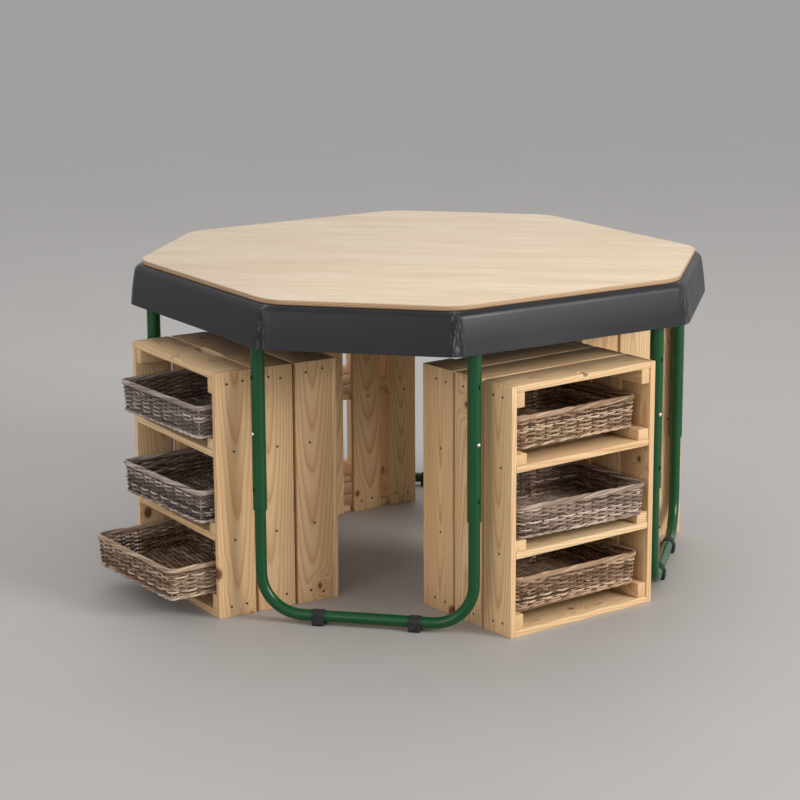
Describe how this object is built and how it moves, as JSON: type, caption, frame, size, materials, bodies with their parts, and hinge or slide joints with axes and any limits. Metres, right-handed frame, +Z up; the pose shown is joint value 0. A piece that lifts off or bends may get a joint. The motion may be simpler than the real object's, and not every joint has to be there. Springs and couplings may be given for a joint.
{
  "type": "children's play table with storage crates",
  "caption": "Octagonal play tray with a plywood top on a telescoping tube stand, with slatted crates of sliding wicker baskets under its sides.",
  "frame": {"origin": "on the floor, under the middle of the whole, which is 63 mm west and 15 mm north of the table's own middle", "axes": "+Z up; +X and +Y square to two of the tray's long sides; +X points away from the west crate, whose lowest basket stands pulled out"},
  "size_m": [1.1426, 1.0904, 0.596],
  "materials": {
    "plywood": "sanded birch plywood, sealed satin, layered edge",
    "tray_plastic": "satin charcoal moulded polyethylene with light scuffs",
    "green_tube": "gloss dark green powder coat on steel tube",
    "rubber": "dull black rubber",
    "button_steel": "zinc-plated spring steel",
    "pine": "sanded knotty pine, sealed satin",
    "willow": "woven natural willow, dry and uneven"
  },
  "bodies": {
    "stand": {"lower_frame_southwest": "green_tube", "lower_frame_southeast": "green_tube", "lower_frame_northeast": "green_tube", "lower_frame_northwest": "green_tube", "rubber_foot_southwest_left": "rubber", "rubber_foot_southwest_right": "rubber", "rubber_foot_southeast_left": "rubber", "rubber_foot_southeast_right": "rubber", "rubber_foot_northeast_left": "rubber", "rubber_foot_northeast_right": "rubber", "rubber_foot_northwest_left": "rubber", "rubber_foot_northwest_right": "rubber"},
    "upper_stand": {"upper_frame_south": "green_tube", "upper_frame_east": "green_tube", "upper_frame_north": "green_tube", "upper_frame_west": "green_tube"},
    "tray": {"mixing_tray_rim": "tray_plastic", "mixing_tray_basin": "tray_plastic"},
    "top": {"plywood_top": "plywood"},
    "button_south_left": {"snap_button_south_left": "button_steel"},
    "button_south_right": {"snap_button_south_right": "button_steel"},
    "button_east_left": {"snap_button_east_left": "button_steel"},
    "button_east_right": {"snap_button_east_right": "button_steel"},
    "button_north_left": {"snap_button_north_left": "button_steel"},
    "button_north_right": {"snap_button_north_right": "button_steel"},
    "button_west_left": {"snap_button_west_left": "button_steel"},
    "button_west_right": {"snap_button_west_right": "button_steel"},
    "south_crate": {"south_crate_left_side": "pine", "south_crate_right_side": "pine", "south_crate_ends_and_back": "pine", "south_crate_upper_shelf": "pine", "south_crate_lower_shelf": "pine"},
    "south_basket_top": {"south_basket_top": "willow"},
    "south_basket_middle": {"south_basket_middle": "willow"},
    "south_basket_bottom": {"south_basket_bottom": "willow"},
    "west_crate": {"west_crate_left_side": "pine", "west_crate_right_side": "pine", "west_crate_ends_and_back": "pine", "west_crate_upper_shelf": "pine", "west_crate_lower_shelf": "pine"},
    "west_basket_top": {"west_basket_top": "willow"},
    "west_basket_middle": {"west_basket_middle": "willow"},
    "west_basket_bottom": {"west_basket_bottom": "willow"},
    "north_crate": {"north_crate_left_side": "pine", "north_crate_right_side": "pine", "north_crate_ends_and_back": "pine", "north_crate_shelf": "pine"},
    "east_crate": {"east_crate_left_side": "pine", "east_crate_right_side": "pine", "east_crate_ends_and_back": "pine", "east_crate_shelf": "pine"}
  },
  "joints": [
    {"name": "height_adjust", "type": "slide", "parent": "stand", "child": "upper_stand", "axis": [0, 0, 1], "range_m": [0, 0.102], "deforming": ["snap_button_south_left", "snap_button_south_right", "snap_button_east_left", "snap_button_east_right", "snap_button_north_left", "snap_button_north_right", "snap_button_west_left", "snap_button_west_right"]},
    {"name": "tray_lift", "type": "slide", "parent": "upper_stand", "child": "tray", "axis": [0, 0, 1], "range_m": [0, 0.3]},
    {"name": "top_lift", "type": "slide", "parent": "tray", "child": "top", "axis": [0, 0, 1], "range_m": [0, 0.3]},
    {"name": "button_press_south_left", "type": "slide", "parent": "stand", "child": "button_south_left", "axis": [0, 1, 0], "range_m": [0, 0.0045], "stiffness_N_per_m": 900, "springref_m": -0.003},
    {"name": "button_press_south_right", "type": "slide", "parent": "stand", "child": "button_south_right", "axis": [0, 1, 0], "range_m": [0, 0.0045], "stiffness_N_per_m": 900, "springref_m": -0.003},
    {"name": "button_press_east_left", "type": "slide", "parent": "stand", "child": "button_east_left", "axis": [-1, 0, 0], "range_m": [0, 0.0045], "stiffness_N_per_m": 900, "springref_m": -0.003},
    {"name": "button_press_east_right", "type": "slide", "parent": "stand", "child": "button_east_right", "axis": [-1, 0, 0], "range_m": [0, 0.0045], "stiffness_N_per_m": 900, "springref_m": -0.003},
    {"name": "button_press_north_left", "type": "slide", "parent": "stand", "child": "button_north_left", "axis": [0, -1, 0], "range_m": [0, 0.0045], "stiffness_N_per_m": 900, "springref_m": -0.003},
    {"name": "button_press_north_right", "type": "slide", "parent": "stand", "child": "button_north_right", "axis": [0, -1, 0], "range_m": [0, 0.0045], "stiffness_N_per_m": 900, "springref_m": -0.003},
    {"name": "button_press_west_left", "type": "slide", "parent": "stand", "child": "button_west_left", "axis": [1, 0, 0], "range_m": [0, 0.0045], "stiffness_N_per_m": 900, "springref_m": -0.003},
    {"name": "button_press_west_right", "type": "slide", "parent": "stand", "child": "button_west_right", "axis": [1, 0, 0], "range_m": [0, 0.0045], "stiffness_N_per_m": 900, "springref_m": -0.003},
    {"name": "south_crate_slide", "type": "slide", "parent": "stand", "child": "south_crate", "axis": [0.0825, -0.9966, 0], "range_m": [-0.03, 0.3]},
    {"name": "south_basket_top_slide", "type": "slide", "parent": "south_crate", "child": "south_basket_top", "axis": [0.0825, -0.9966, 0], "range_m": [-0.0052, 0.216]},
    {"name": "south_basket_middle_slide", "type": "slide", "parent": "south_crate", "child": "south_basket_middle", "axis": [0.0825, -0.9966, 0], "range_m": [-0.024, 0.188]},
    {"name": "south_basket_bottom_slide", "type": "slide", "parent": "south_crate", "child": "south_basket_bottom", "axis": [0.0825, -0.9966, 0], "range_m": [-0.0114, 0.206]},
    {"name": "west_crate_slide", "type": "slide", "parent": "stand", "child": "west_crate", "axis": [-0.9998, 0.0206, 0], "range_m": [-0.03, 0.3]},
    {"name": "west_basket_top_slide", "type": "slide", "parent": "west_crate", "child": "west_basket_top", "axis": [-0.9998, 0.0206, 0], "range_m": [-0.05, 0.162]},
    {"name": "west_basket_middle_slide", "type": "slide", "parent": "west_crate", "child": "west_basket_middle", "axis": [-0.9998, 0.0206, 0], "range_m": [-0.05, 0.162]},
    {"name": "west_basket_bottom_slide", "type": "slide", "parent": "west_crate", "child": "west_basket_bottom", "axis": [-0.9998, 0.0206, 0], "range_m": [-0.1126, 0.101]},
    {"name": "north_crate_slide", "type": "slide", "parent": "stand", "child": "north_crate", "axis": [-0.0304, 0.9995, 0], "range_m": [-0.03, 0.3]},
    {"name": "east_crate_slide", "type": "slide", "parent": "stand", "child": "east_crate", "axis": [0.9998, -0.0206, 0], "range_m": [-0.03, 0.3]}
  ]
}
